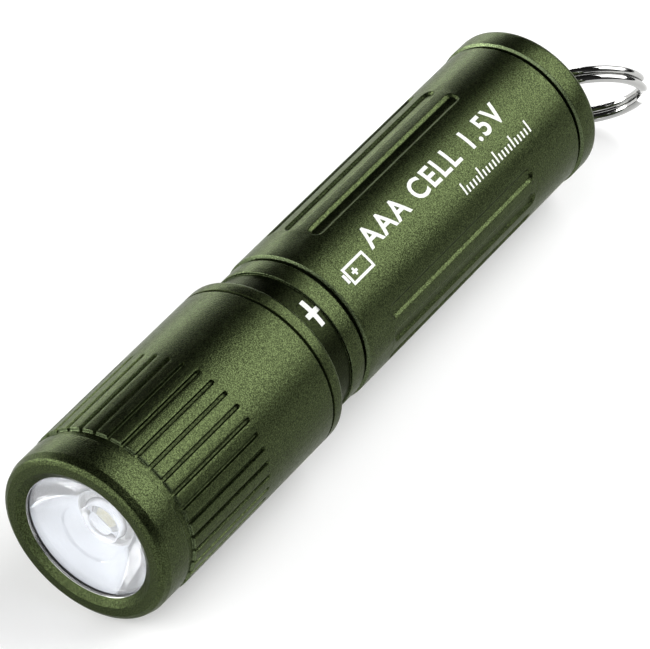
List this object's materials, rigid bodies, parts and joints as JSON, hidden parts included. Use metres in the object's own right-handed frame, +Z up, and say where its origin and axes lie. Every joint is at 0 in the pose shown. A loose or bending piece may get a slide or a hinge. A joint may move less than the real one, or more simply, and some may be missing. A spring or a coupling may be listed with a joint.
{
  "type": "keychain flashlight",
  "caption": "Small round aluminium flashlight for one AAA cell, with a grooved twist head, a clear optic, a fluted battery tube and a split ring on a tail lug.",
  "frame": {"origin": "on the surface that the light lies on, under the middle of its box", "axes": "+Y along the light's axis from the lens to the tail, +Z up, the axis 7 mm above the surface"},
  "size_m": [0.014, 0.0658, 0.014],
  "materials": {
    "anodised_green": "bead-blasted and anodised olive green, satin",
    "steel": "polished steel wire",
    "nickel": "nickel-plated steel",
    "brass": "bright brass",
    "copper": "bare copper track",
    "black_rubber": "smooth black rubber",
    "black_foam": "closed-cell foam",
    "white_plastic": "white moulded plastic",
    "clear_optic": "clear moulded acrylic",
    "phosphor": "silicone over yellow phosphor",
    "white_board": "white solder mask",
    "green_board": "green solder mask",
    "black_component": "moulded epoxy",
    "ceramic": "fired ceramic",
    "red_insulation": "wire insulation",
    "electrode": "packed powder",
    "blue_label": "shrink sleeve"
  },
  "bodies": {
    "tube": {"battery_tube": "anodised_green", "neck_o_ring": "black_rubber", "tail_spring": "steel"},
    "cell": {"cell_can": "nickel", "cell_core": "electrode", "cell_seal": "white_plastic", "cell_negative_cap": "nickel", "cell_sleeve": "blue_label"},
    "head": {"bezel_ring": "anodised_green", "bezel_gasket": "black_rubber", "tir_optic": "clear_optic", "optic_holder": "white_plastic", "head_shell": "anodised_green", "led_board": "white_board", "led_substrate": "white_plastic", "led_dome": "phosphor", "led_centring_ring": "white_plastic", "driver_board": "green_board", "driver_ground_ring": "copper", "positive_contact": "brass", "contact_foam_ring": "black_foam", "driver_chip": "black_component", "driver_inductor": "black_component", "driver_input_capacitor": "ceramic", "driver_output_capacitor": "ceramic", "wire_positive": "red_insulation", "wire_negative": "black_rubber"},
    "key_ring": {"split_ring": "steel"}
  },
  "joints": [
    {"name": "cell_travel", "type": "slide", "parent": "tube", "child": "cell", "axis": [0, -1, 0], "range_m": [-0.00025, 0.0045], "deforming": ["tail_spring"]},
    {"name": "head_twist", "type": "hinge", "parent": "cell", "child": "head", "pos_m": [0, -0.0206, 0.007], "axis": [0, -1, 0], "range_deg": [-90, 1620]},
    {"name": "split_ring_swing", "type": "hinge", "parent": "tube", "child": "key_ring", "pos_m": [0, 0.02551, 0.007], "axis": [0.6494, 0, 0.7604], "range_deg": [-51, 132]}
  ],
  "couplings": [
    {"joint": "head_twist", "follows": "cell_travel", "rad_per_m": 6283.2}
  ]
}
